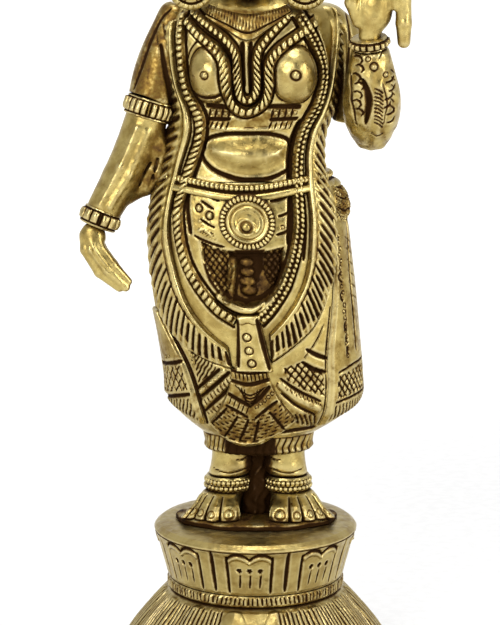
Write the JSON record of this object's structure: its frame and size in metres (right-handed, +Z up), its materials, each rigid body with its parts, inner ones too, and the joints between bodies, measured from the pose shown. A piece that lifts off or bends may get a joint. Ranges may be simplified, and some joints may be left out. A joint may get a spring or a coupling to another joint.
{
  "type": "standing deity statuette",
  "caption": "Standing crowned deity figure in cast brass with a raised hand and a lowered hand, garlands and a pleated skirt, on a stacked round lotus pedestal.",
  "frame": {"origin": "centre of the pedestal's underside", "axes": "+Z up along the pedestal's axis, -Y the way the figure faces, +X to the viewer's right"},
  "size_m": [0.116, 0.116, 0.272],
  "materials": {
    "brass_figure": "polished cast brass with dark patina in the recesses",
    "brass_ornament": "chased brass, bright on the high points",
    "brass_base": "turned and chased brass",
    "brass_dark": "cast brass with brown patina",
    "steel": "zinc plated"
  },
  "bodies": {
    "root": {"plinth": "brass_base", "lotus_dome": "brass_base", "bead_ring": "brass_base", "lotus_cup": "brass_base", "tie_rod": "steel", "rod_washer": "steel", "rod_nut": "steel", "foot_plate": "brass_dark", "right_foot": "brass_figure", "right_anklet": "brass_ornament", "right_leg": "brass_figure", "left_foot": "brass_figure", "left_anklet": "brass_ornament", "left_leg": "brass_figure", "underskirt": "brass_figure", "skirt": "brass_figure", "bodice": "brass_figure", "waist_belt": "brass_ornament", "right_drape": "brass_figure", "left_drape": "brass_figure", "pleat_fan": "brass_figure", "bead_garland": "brass_ornament", "leaf_garland": "brass_ornament", "garland_pendant": "brass_ornament", "belt_medallion": "brass_ornament", "collar_necklace": "brass_ornament", "inner_necklace": "brass_ornament", "outer_necklace": "brass_ornament", "right_sleeve": "brass_figure", "right_armlet": "brass_ornament", "right_forearm": "brass_figure", "right_bangle": "brass_ornament", "right_hand": "brass_figure", "left_forearm": "brass_figure", "left_sleeve": "brass_figure", "left_bangle": "brass_ornament", "left_hand": "brass_figure", "head": "brass_figure", "hair": "brass_dark", "hair_bun": "brass_dark", "right_earring": "brass_ornament", "left_earring": "brass_ornament", "crown_band": "brass_ornament", "crown_tiers": "brass_ornament", "crown_finial": "brass_ornament"}
  },
  "joints": []
}
